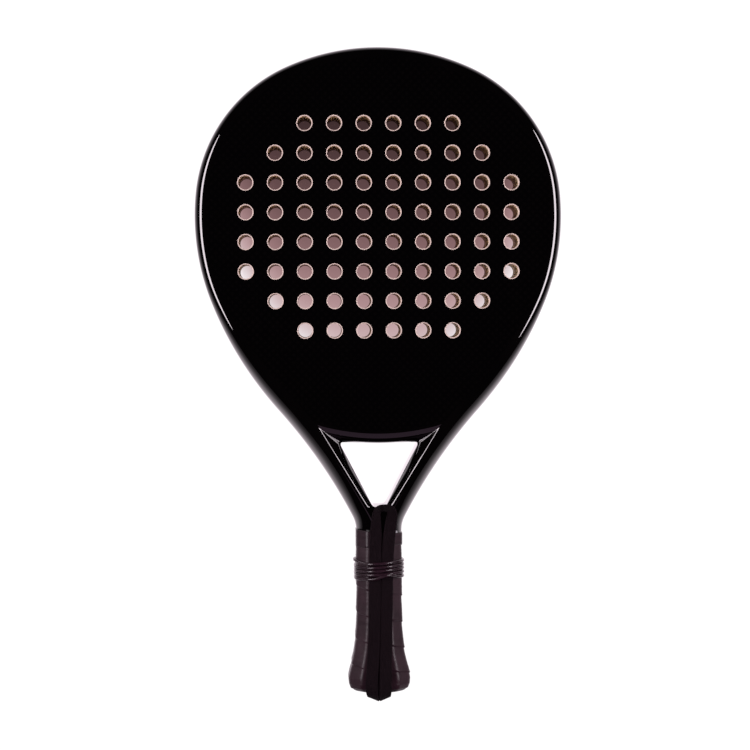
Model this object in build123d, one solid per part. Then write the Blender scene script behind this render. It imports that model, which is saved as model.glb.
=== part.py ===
from build123d import *
import os
from math import cos, pi, radians, sin, tan

# Padel racket, lying on its rear face. +X is across the racket, +Y runs along it towards the head, and +Z
# points out of the front face. The parts are built with Y counted from the butt end and moved at the end,
# so that the origin is below the middle of the racket's length. Millimetres.

# ---- the whole racket ----
LENGTH = 455.0  # butt end to the head's tip
THICKNESS = 38.0  # rear face to front face
MID = THICKNESS / 2

# Half of the outline as tangent arcs from the tip: (radius, degrees turned). A negative radius is hollow.
OUTLINE_ARCS = ((157.5, 24.4), (109.0, 60.3), (166.4, 26.4), (255.4, 20.5), (-376.5, 14.0), (-22.0, 27.6))
RIM_FILLET = 8.0
TUBE_WALL = 2.5

# ---- head ----
SKIN = 1.2  # laminate thickness
SKIN_INSET = 8.5  # the skins end where the rim starts to round off
TUBE_WIDTH = 14.0  # the tube's width round the head, and the core's distance from the outline
CORE_END = 204.0  # the core's lower edge, where the bridge starts
SKIN_END = 196.0  # the skins lap over the bridge
HOLE_ROWS = (6, 8, 10, 10, 10, 10, 8, 6)
HOLE_PITCH = 20.75
HOLE_GRID_CENTRE = 328.5
HOLE_RADIUS = 5.25
HOLE_BEVEL = 0.85  # the bevelled edge of the drilled laminate

# ---- throat ----
OPENING = ((28.3, 177.0), (4.5, 131.0))  # half widths of the triangular opening, and where
OPENING_BOW = 0.7  # how far its top edge bows down in the middle
OPENING_CORNER = 3.0
FUNNEL = ((44.5, 189.0), (1.0, 117.0))  # half widths of the sloped surround where it meets the faces
FUNNEL_DEPTH = 9.0
BRIDGE_END = OPENING[0][1] - OPENING_BOW
BRIDGE_FOAM_WALL = 3.0
BRIDGE_FOAM_END = 183.0
BRIDGE_FOAM_HEIGHT = 22.0
TAPER_START = 168.0  # below this the arms thin down towards the handle
NECK_END = 113.5  # the handle's upper end
NECK_THICKNESS = 29.6

# ---- handle ----
LEG_END = 12.0
LEG_SPAN = (3.0, 11.4)  # each leg of the tube, across
LEG_HEIGHT = 19.0
LEG_WALL = 2.0
ARM_CAVITY = (3.0, 10.0)  # the hollow of the arms, as distances from the outline
ARM_CAVITY_END = 124.0
# Half width, half thickness and corner radius of the wrapped handle, by distance from the butt end.
HANDLE_SECTIONS = (
    (0.0, 15.5, 12.0, 8.0),
    (3.0, 19.6, 15.4, 9.5),
    (9.5, 21.2, 16.8, 10.0),
    (18.0, 19.2, 15.9, 9.6),
    (30.0, 16.6, 15.1, 9.2),
    (42.0, 15.6, 14.9, 9.0),
)
GRIP_THICKNESS = 2.0
GRIP_END = 2.5
END_TAPE = (102.0, 0.5)  # where the end tape starts, and its thickness
CAP_TOP = 26.0
CAP_WALL = 1.8
CAP_FLOOR = 3.0
STRAP_SLOT = (20.5, 5.0)
STAPLE = (5.0, 6.5, 1.1)  # width, leg length, wire
STAPLE_AT = 19.0

# ---- wrist strap ----
STRAP_WIDTH = 8.4
STRAP_THICKNESS = 1.6
STRAP_LEGS = (-3.7, 5.1)  # where the two legs lie, across
# The route of one leg, (from the butt end, height): out of the butt cap, round its edge and up the handle.
STRAP_ROUTE = (
    (8.0, 20.5),
    (-3.8, 20.5),
    (-6.6, 31.5),
    (-0.5, 38.2),
    (13.0, 37.6),
    (31.0, 36.1),
    (50.0, 35.0),
    (102.0, 35.0),
    (122.0, 36.6),
)
KNOT = (19.0, 5.6, 12.0)

# ---- strap tie ----
TIE_TURNS = 5
TIE_PITCH = 2.55
TIE_DIAMETER = 2.1
TIE_CENTRE = 88.5
TIE_HALF_WIDTH = 16.95
TIE_HEIGHTS = (2.75, 37.5)  # of the cord's centreline under the handle and over the strap
TIE_CORNER = 10.0

BIG = 400.0


def half_outline(inset):
    """The right half of the outline, inset all round, from the tip to the legs' end."""
    x, y, heading = 0.0, LENGTH - inset, 0.0
    edges = []
    for radius, degrees in OUTLINE_ARCS:
        side = 1 if radius > 0 else -1
        r = abs(radius) - side * inset
        centre_x = x + side * r * sin(heading)
        centre_y = y - side * r * cos(heading)
        points = [(x, y)]
        for share in (0.5, 1.0):
            angle = heading - side * radians(degrees) * share
            points.append((centre_x - side * r * sin(angle), centre_y + side * r * cos(angle)))
        edges.append(ThreePointArc(*points))
        x, y = points[-1]
        heading -= side * radians(degrees)
    edges.append(Line((x, y), (x, LEG_END)))
    edges.append(Line((x, LEG_END), (0, LEG_END)))
    return edges


def plan(inset):
    """The racket's outline as a face, inset all round."""
    edges = half_outline(inset)
    return make_face(edges + [mirror(e, Plane.YZ) for e in edges])


def slab(face, low, high):
    """A plan face raised between two heights."""
    return extrude(Pos(0, 0, low) * face, high - low)


def band(start, end, half_width=BIG):
    """Everything between two distances from the butt end."""
    return Pos(0, (start + end) / 2, MID) * Box(2 * half_width, end - start, BIG)


def moulding(inset):
    """The racket's moulded outer form, inset all round, without the throat opening."""
    body = slab(plan(inset), inset, THICKNESS - inset)
    rim = [e for e in body.edges() if abs(e.center().Z - MID) > MID - inset - 1 and e.center().Y > LEG_END + 1]
    return fillet(rim, RIM_FILLET - inset)


def side_form():
    """The racket as seen from the side, which thins the arms towards the handle."""
    half = NECK_THICKNESS / 2
    points = [
        (NECK_END, MID - half),
        (TAPER_START, 0),
        (LENGTH + 1, 0),
        (LENGTH + 1, THICKNESS),
        (TAPER_START, THICKNESS),
        (NECK_END, MID + half),
    ]
    return extrude(Plane.YZ * make_face(Polyline(*points, close=True)), BIG, both=True)


def opening_cutter():
    """The triangular throat opening with its rounded corners and bowed upper edge."""
    (wide, top), (narrow, bottom) = OPENING
    edge = ThreePointArc((wide, top), (0, top - OPENING_BOW), (-wide, top))
    rest = Polyline((-wide, top), (-narrow, bottom), (narrow, bottom), (wide, top))
    face = make_face([edge] + list(rest.edges()))
    face = fillet(face.vertices(), OPENING_CORNER)
    return slab(face, -1, THICKNESS + 1)


def funnel_cutter():
    """The sloped surround of the opening on both faces."""
    (wide, top), (narrow, bottom) = FUNNEL
    (in_wide, in_top), (in_narrow, in_bottom) = OPENING
    outer = make_face(Polyline((-wide, top), (-narrow, bottom), (narrow, bottom), (wide, top), close=True))
    inner = make_face(
        Polyline((-in_wide, in_top), (-in_narrow, in_bottom), (in_narrow, in_bottom), (in_wide, in_top), close=True)
    )
    front = loft([Pos(0, 0, THICKNESS - FUNNEL_DEPTH) * inner, Pos(0, 0, THICKNESS) * outer], ruled=True)
    return front + mirror(front, Plane.XY.offset(MID))


def hole_places():
    """The centres of the drilled holes, row by row from the tip."""
    places = []
    for row, count in enumerate(HOLE_ROWS):
        y = HOLE_GRID_CENTRE + ((len(HOLE_ROWS) - 1) / 2 - row) * HOLE_PITCH
        for column in range(count):
            places.append(((column - (count - 1) / 2) * HOLE_PITCH, y))
    return places


def handle_section(place, inset):
    """One section of the wrapped handle, inset all round."""
    at, half_width, half_thickness, corner = place
    flat = RectangleRounded(2 * (half_width - inset), 2 * (half_thickness - inset), corner - inset)
    return Plane(origin=(0, at, MID), x_dir=(1, 0, 0), z_dir=(0, 1, 0)) * flat


def handle_form(inset, start, end):
    """The wrapped handle's outer form, inset all round, between two distances from the butt end."""
    flare = loft([handle_section(place, inset) for place in HANDLE_SECTIONS])
    shaft = extrude(handle_section(HANDLE_SECTIONS[-1], inset), NECK_END - HANDLE_SECTIONS[-1][0])
    return (flare + shaft) & band(start, end)


def make_racket_body(parts):
    """The frame tube in three lengths, the bridge and web of the throat, the skins and the core."""
    shell = moulding(0) & side_form()
    throat = opening_cutter() + funnel_cutter()
    drills = [Pos(x, y, MID) * Cylinder(HOLE_RADIUS, THICKNESS + 2) for x, y in hole_places()]

    core_plan = plan(TUBE_WIDTH)
    core_block = slab(core_plan, SKIN, THICKNESS - SKIN) & band(CORE_END, LENGTH)
    parts["foam_core"] = core_block - drills

    bevel = HOLE_RADIUS + HOLE_BEVEL
    front = slab(plan(SKIN_INSET), THICKNESS - SKIN, THICKNESS) & band(SKIN_END, LENGTH)
    cones = [
        Pos(x, y, THICKNESS - HOLE_BEVEL / 2) * Cone(HOLE_RADIUS, bevel, HOLE_BEVEL) for x, y in hole_places()
    ]
    drilled_front = front - drills - cones
    parts["front_face_skin"] = drilled_front
    parts["rear_face_skin"] = mirror(drilled_front, Plane.XY.offset(MID))
    skins = front + mirror(front, Plane.XY.offset(MID))

    core_hollow = slab(core_plan, -1, THICKNESS + 1) & band(BRIDGE_END, CORE_END)
    foam_half = BRIDGE_FOAM_HEIGHT / 2
    foam = slab(plan(TUBE_WIDTH + BRIDGE_FOAM_WALL), MID - foam_half, MID + foam_half)
    foam = foam & band(BRIDGE_FOAM_END, CORE_END - BRIDGE_FOAM_WALL)
    parts["bridge_foam"] = foam
    parts["throat_bridge"] = (shell & core_hollow) - throat - skins - foam

    strip = band(LEG_END, OPENING[1][1] + OPENING_CORNER, LEG_SPAN[0])
    parts["throat_web"] = (shell & strip) - throat

    head_hollow = (moulding(TUBE_WALL) - slab(plan(TUBE_WIDTH - TUBE_WALL), -1, THICKNESS + 1)) & band(CORE_END, LENGTH)
    near, far = ARM_CAVITY
    arm_half = LEG_HEIGHT / 2 - LEG_WALL
    arm_hollow = (slab(plan(near), MID - arm_half, MID + arm_half) - slab(plan(far), 0, THICKNESS)) & band(
        ARM_CAVITY_END, CORE_END
    )
    tube = shell - throat - skins - core_block - core_hollow - strip - head_hollow - arm_hollow
    leg_width = LEG_SPAN[1] - LEG_SPAN[0]
    leg_middle = (LEG_SPAN[0] + LEG_SPAN[1]) / 2
    for side in (-1, 1):
        leg = Box(leg_width, NECK_END - LEG_END, LEG_HEIGHT)
        bore = Box(leg_width - 2 * LEG_WALL, ARM_CAVITY_END - LEG_END, 2 * arm_half)
        tube = tube + Pos(side * leg_middle, (NECK_END + LEG_END) / 2, MID) * leg
        tube = tube - Pos(side * leg_middle, (ARM_CAVITY_END + LEG_END) / 2, MID) * bore
    parts["head_tube"] = tube & band(CORE_END, LENGTH)
    arms = (tube & band(LEG_END, CORE_END)).solids().sort_by(Axis.X)
    parts["left_arm_tube"] = arms[0]
    parts["right_arm_tube"] = arms[-1]


def make_handle(parts):
    """The foam round and between the tube's legs, the butt cap with its staples, and the grip."""
    legs = band(LEG_END, NECK_END, LEG_SPAN[1]) & (Pos(0, 0, MID) * Box(BIG, BIG, LEG_HEIGHT))
    parts["handle_spacer"] = legs & band(LEG_END, NECK_END, LEG_SPAN[0])

    inside_cap = GRIP_THICKNESS + CAP_WALL
    shells = handle_form(GRIP_THICKNESS, CAP_TOP, NECK_END) + handle_form(inside_cap, LEG_END, CAP_TOP) - legs
    cap = handle_form(GRIP_THICKNESS, GRIP_END, CAP_TOP) + handle_form(0, 0, GRIP_END)
    slot = Plane.XZ * SlotOverall(*STRAP_SLOT)
    cap = cap - handle_form(inside_cap, GRIP_END + CAP_FLOOR, CAP_TOP)
    cap = cap - Pos(sum(STRAP_LEGS) / 2, 0, STRAP_ROUTE[0][1]) * extrude(slot, 2 * CAP_FLOOR + GRIP_END, both=True)

    width, leg, wire = STAPLE
    crown_top = MID + HANDLE_SECTIONS[3][2] - GRIP_THICKNESS - wire / 2
    bar = Pos(0, STAPLE_AT, crown_top - wire / 2) * Box(width, wire, wire)
    prongs = [
        Pos(side * (width - wire) / 2, STAPLE_AT, crown_top - leg / 2) * Box(wire, wire, leg) for side in (-1, 1)
    ]
    staple = bar + prongs
    staples = staple + mirror(staple, Plane.XY.offset(MID))
    parts["cap_staples"] = staples
    parts["butt_cap"] = cap - staples
    parts["handle_spacer"] = parts["handle_spacer"] - staples
    shells = shells - staples
    upper = Pos(0, 0, MID + BIG / 2) * Box(BIG, 2 * BIG, BIG)
    parts["handle_shell_front"] = shells & upper
    parts["handle_shell_rear"] = shells - upper

    wrap = handle_form(0, GRIP_END, NECK_END) - handle_form(GRIP_THICKNESS, 0, NECK_END)
    start, thin = END_TAPE
    tape = wrap - handle_form(thin, 0, NECK_END)
    tape = tape & band(start, NECK_END)
    parts["grip_end_tape"] = tape
    parts["base_grip"] = wrap - tape


def fillet_radii(points, share=0.45):
    """Each corner's arc radius: a share of its shorter run over the tangent of half the turn."""
    radii = []
    for before, corner, after in zip(points, points[1:], points[2:]):
        into = Vector(*corner) - Vector(*before)
        away = Vector(*after) - Vector(*corner)
        radii.append(share * min(into.length, away.length) / tan(radians(into.get_angle(away)) / 2))
    return radii


def make_strap(parts):
    """The webbing: two legs along the handle joined by a turn, and the knot of its ends inside the cap."""
    legs = []
    for across in STRAP_LEGS:
        points = [(across, y, z) for y, z in STRAP_ROUTE]
        radii = fillet_radii(points)
        route = FilletPolyline(*points, radius=radii)
        section = Plane(origin=route @ 0, x_dir=(1, 0, 0), z_dir=route % 0) * Rectangle(STRAP_WIDTH, STRAP_THICKNESS)
        leg = sweep(section, route)
        print("strap leg radii", [round(r, 1) for r in radii], "length", round(route.length, 1))
        print("volume", round(leg.volume, 1), "section x length", round(section.area * route.length, 1))
        legs.append(leg)
    middle = sum(STRAP_LEGS) / 2
    reach = (STRAP_LEGS[1] - STRAP_LEGS[0] + STRAP_WIDTH) / 2
    gap = reach - STRAP_WIDTH
    end, height = STRAP_ROUTE[-1]
    low = height - STRAP_THICKNESS / 2
    turn = slab(Circle(reach) - Circle(gap), 0, STRAP_THICKNESS)
    turn = Pos(middle, end, low) * turn & band(end, LENGTH)
    parts["wrist_strap"] = legs[0] + turn + legs[1]

    width, length, height = KNOT
    knot = fillet(Box(width, length, height).edges(), 2.0)
    knot = Pos(middle, GRIP_END + CAP_FLOOR + 0.2 + length / 2, MID) * knot
    parts["strap_knot"] = knot - legs[0] - legs[1]


def make_tie(parts):
    """Elastic cord wound round the grip and the strap."""
    low, high = TIE_HEIGHTS
    corners = ((TIE_HALF_WIDTH, low), (TIE_HALF_WIDTH, high), (-TIE_HALF_WIDTH, high), (-TIE_HALF_WIDTH, low))
    start = TIE_CENTRE - TIE_TURNS * TIE_PITCH / 2
    points = [(0, start, low)]
    for step in range(4 * TIE_TURNS):
        x, z = corners[step % 4]
        points.append((x, start + (step + 0.5) * TIE_PITCH / 4, z))
    points.append((0, start + TIE_TURNS * TIE_PITCH, low))
    route = FilletPolyline(*points, radius=TIE_CORNER)
    section = Plane(origin=route @ 0, z_dir=route % 0) * Circle(TIE_DIAMETER / 2)
    cord = sweep(section, route)
    print("tie length", round(route.length, 1), "volume", round(cord.volume, 1))
    print("section x length", round(pi * TIE_DIAMETER**2 / 4 * route.length, 1))
    parts["strap_tie"] = cord


def main():
    parts = {}
    make_racket_body(parts)
    make_handle(parts)
    make_strap(parts)
    make_tie(parts)
    os.makedirs("parts", exist_ok=True)
    for name, shape in parts.items():
        export_step(Pos(0, -LENGTH / 2, 0) * shape, f"parts/{name}.step")


main()
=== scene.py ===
import random
from functools import lru_cache
from math import ceil, cos, dist, exp, floor, hypot, pi, radians, sin, sqrt, tan

import bmesh
import bpy
import numpy as np
from mathutils import Matrix, Vector, noise


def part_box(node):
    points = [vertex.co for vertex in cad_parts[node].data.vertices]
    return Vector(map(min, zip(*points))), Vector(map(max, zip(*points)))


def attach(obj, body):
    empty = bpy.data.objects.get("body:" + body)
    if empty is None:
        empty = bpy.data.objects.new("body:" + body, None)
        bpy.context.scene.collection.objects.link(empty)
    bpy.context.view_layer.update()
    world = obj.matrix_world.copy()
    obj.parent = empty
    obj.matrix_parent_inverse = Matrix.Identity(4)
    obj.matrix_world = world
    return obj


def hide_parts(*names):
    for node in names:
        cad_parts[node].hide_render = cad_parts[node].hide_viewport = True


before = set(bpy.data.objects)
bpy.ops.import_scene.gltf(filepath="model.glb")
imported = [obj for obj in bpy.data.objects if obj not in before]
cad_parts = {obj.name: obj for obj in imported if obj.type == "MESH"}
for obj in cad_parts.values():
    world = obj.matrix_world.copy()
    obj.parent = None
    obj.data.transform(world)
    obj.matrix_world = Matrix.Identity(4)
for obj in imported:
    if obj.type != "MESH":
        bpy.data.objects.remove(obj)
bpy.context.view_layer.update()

# Padel racket lying on its rear face: +X across, +Y towards the head, +Z out of the front face. The shapes
# are worked out in millimetres with "at" counted from the butt end, as the CAD does, and turned into metres
# of the shared frame by place().
MM = 0.001
LENGTH = 455.0
THICKNESS = 38.0
MID = THICKNESS / 2

# ---- outline and rim ----
OUTLINE_ARCS = ((157.5, 24.4), (109.0, 60.3), (166.4, 26.4), (255.4, 20.5), (-376.5, 14.0), (-22.0, 27.6))
OUTLINE_STEP = 1.5
SECTION_STEP = 5  # degrees between the points of the rim's section
NECK_FOOT = 104.0  # the lacquered neck ends here, inside the grip
HEAD_RADIUS = 8.0  # rounding of the rim round the head
ARM_RADIUS = 24.0  # rounding of the arms' outer sides
RADIUS_CHANGE = (300.0, 180.0)  # where the one turns into the other
CORE_END = 204.0
TAPER_START = 168.0
NECK_END = 113.5
NECK_THICKNESS = 29.6

# ---- holes ----
HOLE_ROWS = (6, 8, 10, 10, 10, 10, 8, 6)
HOLE_PITCH = 20.75
HOLE_GRID_CENTRE = 328.5
HOLE_RADIUS = 5.25
HOLE_BEVEL = 0.7
HOLE_LIP = 4.98  # radius at the laminate, which the foam stands back from
HOLE_SIDES = 40
BEVEL_STEPS = ((0.0, 1.0), (0.3, 0.62), (0.65, 0.22), (1.0, 0.0))  # the bevel's round, (down, out)
SAME_POINT = 0.05  # outline points nearer than this are one
SKIN = 1.2
CORE_INSET = 14.0

# ---- throat, right half ----
FUNNEL_TIP = (46.6, 192.05)
FUNNEL_VERTEX = (1.0, 117.0)
FUNNEL_FADE = (127.5, 133.0)  # the funnel's floor rises to the front of the neck between these
OPENING_TOP = (28.3, 177.0)
OPENING_FOOT = (4.5, 131.0)
OPENING_BOW = 0.7
OPENING_CORNER = 3.0
OPENING_REACH = 3.4  # how far a corner's rounding may reach along the opening's sides
SLOPE = radians(38)  # steepness of the funnel's sides
CREASE_RADIUS = 2.4
WALL_RADIUS = (0.5, 13.0)  # rounding of the opening's sides at their ends and in the middle
BRIDGE_RADIUS = 10.0
BRIDGE_STEPS = 26
BRIDGE_LIP = 6.0  # radius of the bridge's last rounding, into the opening
BRIDGE_BROW = 185.0  # where the bridge starts to round off, in the middle
VALLEY_WIDTH = (0.12, 1.1)  # softness of the valley between the slope and the bridge, foot and tip
CREASE_STEPS = 8  # points across the crease's rounding, which go on at these shares of the slope
SLOPE_STEPS = (
    0.06, 0.14, 0.24, 0.36, 0.48, 0.58, 0.67, 0.75, 0.82, 0.88, 0.92, 0.95, 0.97, 0.985, 0.993, 1.0
)
CORNER_ROWS = 0.24  # share of the slope's rows that run into the valley

# ---- handle: half width and half thickness of the wrapped grip, from the butt end ----
GRIP_PROFILE = (
    (-1.6, 15.0, 11.4), (-1.1, 17.0, 13.0), (-0.2, 18.7, 14.3), (1.5, 20.2, 15.4), (4.4, 21.3, 16.4),
    (8.6, 21.7, 16.8), (13.0, 20.9, 16.5), (17.4, 19.8, 16.0), (21.6, 18.8, 15.6), (26.5, 17.8, 15.3),
    (34.0, 16.9, 14.95), (45.0, 16.1, 14.7), (60.0, 15.85, 14.6), (116.0, 15.85, 14.6),
)
BUTT = GRIP_PROFILE[0][0]
GRIP_START = 0.9
GRIP_TOP = 113.0
WRAP_PITCH = 18.5
WRAP_EDGE = 56.0  # where a wrap's lower edge crosses the left side
WRAP_STEP = 0.62
CHAMFER = 0.515  # share of the half thickness that the octagon's corners take
CHAMFER_ROUND = 4.6
CORNER_POINTS = 6
SIDE_POINTS = 5
TAPE_START = 103.0
TAPE_LIFT = 0.72
TAPE_SLANT = (-1.2, 1.4)  # shift of its two edges at the left side, and the opposite at the right
STRAP_SLOT = (20.5, 5.0)
SLOT_CENTRE = (0.7, 20.5)
# The cap's rounded edge, (from the butt end, inset), its end from there to the slot, (share of the way,
# depth), with a shallow moulded step and a raised lip, and the slot's depths.
CAP_EDGE = (
    (26.0, 2.0), (3.4, 2.0), (2.2, 1.7), (1.2, 0.6), (0.5, 0.1), (-0.4, 0.0), (-1.1, 0.0), (-1.45, 0.1),
    (BUTT, 0.6),
)
CAP_END = (
    (0.08, 0.0), (0.11, 0.35), (0.30, 0.35), (0.34, 0.0), (0.72, 0.0), (0.78, -0.45), (0.92, -0.45),
    (0.98, 0.1),
)
SLOT_DEPTHS = (0.6, 5.0, 10.0)

# ---- wrist strap ----
STRAP_WIDTH = 8.5
STRAP_THICKNESS = 1.6
STRAP_RIBS = 9
RIB_DEPTH = 0.13
# One leg's route, the same points as in part.py: (from the butt end, height).
STRAP_ROUTE = (
    (8.0, 20.5), (-3.8, 20.5), (-6.6, 31.5), (-0.5, 38.2), (13.0, 37.6), (31.0, 36.1), (50.0, 35.0),
    (102.0, 35.0), (122.0, 36.6),
)
# How far across each leg lies at those points; the webbing wanders a little.
LEFT_ACROSS = (-3.7, -3.3, -4.2, -6.2, -5.7, -4.2, -3.6, -3.0, -2.5)
RIGHT_ACROSS = (5.1, 4.0, 3.6, 3.9, 3.9, 4.4, 4.8, 5.7, 8.3)
# The turn between the legs, (across, from the butt end, height).
STRAP_TURN = (
    (-2.3, 126.5, 36.9), (-0.6, 130.5, 37.5), (3.6, 130.8, 37.7), (7.8, 130.3, 37.5), (9.2, 126.0, 36.8)
)
STRAP_MIDDLE = ((100.0, 0.3), (123.0, 3.0))  # the line midway between the legs, (from the butt end, across)
TURN_CENTRE = 124.0
KNOT_RINGS, KNOT_SIDES = 25, 36
KNOT_FILL = 0.93  # share of the CAD knot's size that a plain stretch of it has
# Tilt of the webbing's outer edge, in degrees, by the share of its length: up is positive.
STRAP_TILT = (
    (0.0, 0), (0.035, -8), (0.06, -24), (0.085, -16), (0.115, 0), (0.28, -4), (0.33, -14), (0.38, -3),
    (0.43, 12), (0.46, 38), (0.485, 56), (0.50, 54), (0.52, 42), (0.545, 16), (0.58, 0), (0.63, -3),
    (0.67, -14), (0.72, -4), (0.90, 0), (0.92, -14), (0.94, -24), (0.965, -8), (1.0, 0),
)

# ---- floor ----
# In metres: its height just under the racket, and its fine and coarse cells.
FLOOR_LEVEL = -0.0002
FLOOR_STEP = 0.006
FLOOR_CELLS = 55
FAR_FLOOR = (0.36, 0.42, 0.5, 0.62, 0.8, 1.1, 1.6, 2.6, 5.0, 12.0)
# Painted light on the floor: how bright a painted pool of light round the racket is, and how it fades
# outwards.
PAINTED_FLOOR_LIGHT = 1.4
PAINTED_LIGHT_REACH = 46.0  # the painted pool of light fades beyond this distance from the outline
PAINTED_LIGHT_FALL = 1.1
SHADE_INSET = 13.0  # the painted shade on the floor starts this far inside the outline, out of sight under the rim
# Painted shade on the floor under the head: it starts at SHADE_LEVEL, brightens towards the handle as far as
# SHADE_END, and brightens towards the sides with painted light.
SHADE_START, SHADE_END = 401.0, 182.0
SHADE_LEVEL, SHADE_RATE = 0.034, 0.0168
SIDE_START, SIDE_RUN = 410.0, 100.0
SIDE_GAIN, SIDE_REACH, SIDE_FALL = 2.0, 32.0, 14.0

# ---- strap tie ----
TIE_TURNS = 5
TIE_PITCH = 2.7
TIE_RADIUS = 1.12
TIE_CENTRE = 85.8
TIE_SIDES = 14
# One turn, (across, height), from under the handle up the right side, over the strap and down the left side.
TIE_LOOP = (
    (0.0, 3.6), (9.0, 3.6), (13.6, 6.6), (16.6, 11.0), (16.9, 19.0), (16.7, 26.6), (13.9, 31.0),
    (11.2, 33.2), (8.4, 35.9), (4.3, 37.7), (0.6, 38.0), (-3.3, 37.6), (-7.4, 35.9), (-10.2, 33.2),
    (-13.4, 30.3), (-16.6, 26.6), (-16.9, 19.0), (-16.6, 11.0), (-13.6, 6.6), (-9.0, 3.6),
)


def place(across, at, height):
    """A point of the shared frame, in metres."""
    return Vector((across * MM, (at - LENGTH / 2) * MM, height * MM))


def smooth(value):
    value = min(max(value, 0.0), 1.0)
    return value * value * (3 - 2 * value)


def mix(a, b, share):
    return a + (b - a) * share


def bend(start, corner, end, share):
    """A point of the rounding that leads from start to end inside a corner."""
    return start.lerp(corner, share).lerp(corner.lerp(end, share), share)


# ======== camera and cord route

CAMERA_AT = (-0.046, 0.040, 1.357)
CAMERA_AIM = (-0.00272, -0.0032, 0.030)
CAMERA_ROLL = radians(-0.181)
CAMERA_LENS = 90.15


def facing(at, aim, up):
    """The matrix of something at a point that faces another, with its top towards up."""
    back = (Vector(at) - Vector(aim)).normalized()
    right = Vector(up).cross(back).normalized()
    return Matrix.Translation(at) @ Matrix((right, back.cross(right), back)).transposed().to_4x4()


def make_camera():
    data = bpy.data.cameras.new("camera")
    data.lens = CAMERA_LENS
    data.sensor_width = 36.0
    camera = bpy.data.objects.new("camera", data)
    bpy.context.scene.collection.objects.link(camera)
    camera.matrix_world = facing(CAMERA_AT, CAMERA_AIM, (0, 1, 0)) @ Matrix.Rotation(CAMERA_ROLL, 4, "Z")
    bpy.context.scene.camera = camera


def strap_controls():
    """The whole strap's control points: up the left leg, round the turn and down the right leg."""
    up = [place(x, at, z) for x, (at, z) in zip(LEFT_ACROSS, STRAP_ROUTE)]
    turn = [place(*point) for point in STRAP_TURN]
    down = [place(x, at, z) for x, (at, z) in zip(RIGHT_ACROSS, STRAP_ROUTE)]
    return up + turn + down[::-1]


def nurbs_line(points, resolution):
    """The points of the smooth line that a NURBS spline makes of its control points."""
    curve = bpy.data.curves.new("line", "CURVE")
    curve.dimensions = "3D"
    curve.resolution_u = resolution
    spline = curve.splines.new("NURBS")
    spline.points.add(len(points) - 1)
    for point, co in zip(spline.points, points):
        point.co = (*co, 1.0)
    spline.order_u = 3
    spline.use_endpoint_u = True
    holder = bpy.data.objects.new("line", curve)
    mesh = bpy.data.meshes.new_from_object(holder)
    line = [vertex.co.copy() for vertex in mesh.vertices]
    bpy.data.objects.remove(holder)
    bpy.data.meshes.remove(mesh)
    bpy.data.curves.remove(curve)
    return line


# ======== materials


class Shader:
    """A material with a Principled shader, and short ways to wire nodes into it."""

    def __init__(self, name, **values):
        self.material = bpy.data.materials.new(name)
        self.material.use_nodes = True
        self.tree = self.material.node_tree
        self.bsdf = self.tree.nodes["Principled BSDF"]
        for key, value in values.items():
            socket = self.bsdf.inputs[key.replace("_", " ")]
            socket.default_value = (*value, 1.0) if isinstance(value, tuple) else value

    def node(self, kind, **values):
        made = self.tree.nodes.new(kind)
        for key, value in values.items():
            if key in made.inputs:
                made.inputs[key].default_value = value
            else:
                setattr(made, key, value)
        return made

    def link(self, source, target):
        self.tree.links.new(source, target)

    def position(self, scale=(1, 1, 1), kind="Object"):
        """Object or UV coordinates, stretched."""
        coordinates = self.node("ShaderNodeTexCoord")
        mapping = self.node("ShaderNodeMapping", Scale=scale)
        self.link(coordinates.outputs[kind], mapping.inputs["Vector"])
        return mapping.outputs[0]

    def noise(self, scale, detail=4.0, rough=0.55, stretch=(1, 1, 1)):
        made = self.node("ShaderNodeTexNoise", Scale=scale, Detail=detail, Roughness=rough)
        self.link(self.position(stretch), made.inputs["Vector"])
        return made.outputs["Fac"]

    def cells(self, scale):
        made = self.node("ShaderNodeTexVoronoi", Scale=scale)
        self.link(self.position(), made.inputs["Vector"])
        return made.outputs["Distance"]

    def wave(self, vector, scale, direction="X", distortion=0.0):
        made = self.node("ShaderNodeTexWave", bands_direction=direction, Scale=scale, Distortion=distortion)
        self.link(vector, made.inputs["Vector"])
        return made.outputs["Fac"]

    def colour(self, factor, low, high, start=0.0, end=1.0):
        """Gives the surface colours from low to high as the factor goes from start to end."""
        made = self.node("ShaderNodeValToRGB")
        stops = made.color_ramp.elements
        stops[0].position, stops[1].position = start, end
        stops[0].color, stops[1].color = (*low, 1.0), (*high, 1.0)
        self.link(factor, made.inputs["Fac"])
        self.link(made.outputs["Color"], self.bsdf.inputs["Base Color"])

    def roughness(self, factor, low, high):
        """Gives the surface a roughness from low to high as the factor goes from 0 to 1."""
        made = self.node("ShaderNodeMapRange")
        made.inputs["To Min"].default_value, made.inputs["To Max"].default_value = low, high
        self.link(factor, made.inputs["Value"])
        self.link(made.outputs[0], self.bsdf.inputs["Roughness"])

    def math(self, operation, first, second):
        made = self.node("ShaderNodeMath", operation=operation)
        for socket, value in zip(made.inputs, (first, second)):
            if isinstance(value, (int, float)):
                socket.default_value = value
            else:
                self.link(value, socket)
        return made.outputs[0]

    def bump(self, height, strength, distance, onto=None):
        made = self.node("ShaderNodeBump", Strength=strength, Distance=distance)
        self.link(height, made.inputs["Height"])
        if onto is not None:
            self.link(onto, made.inputs["Normal"])
        self.link(made.outputs[0], self.bsdf.inputs["Normal"])
        return made.outputs[0]


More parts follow.
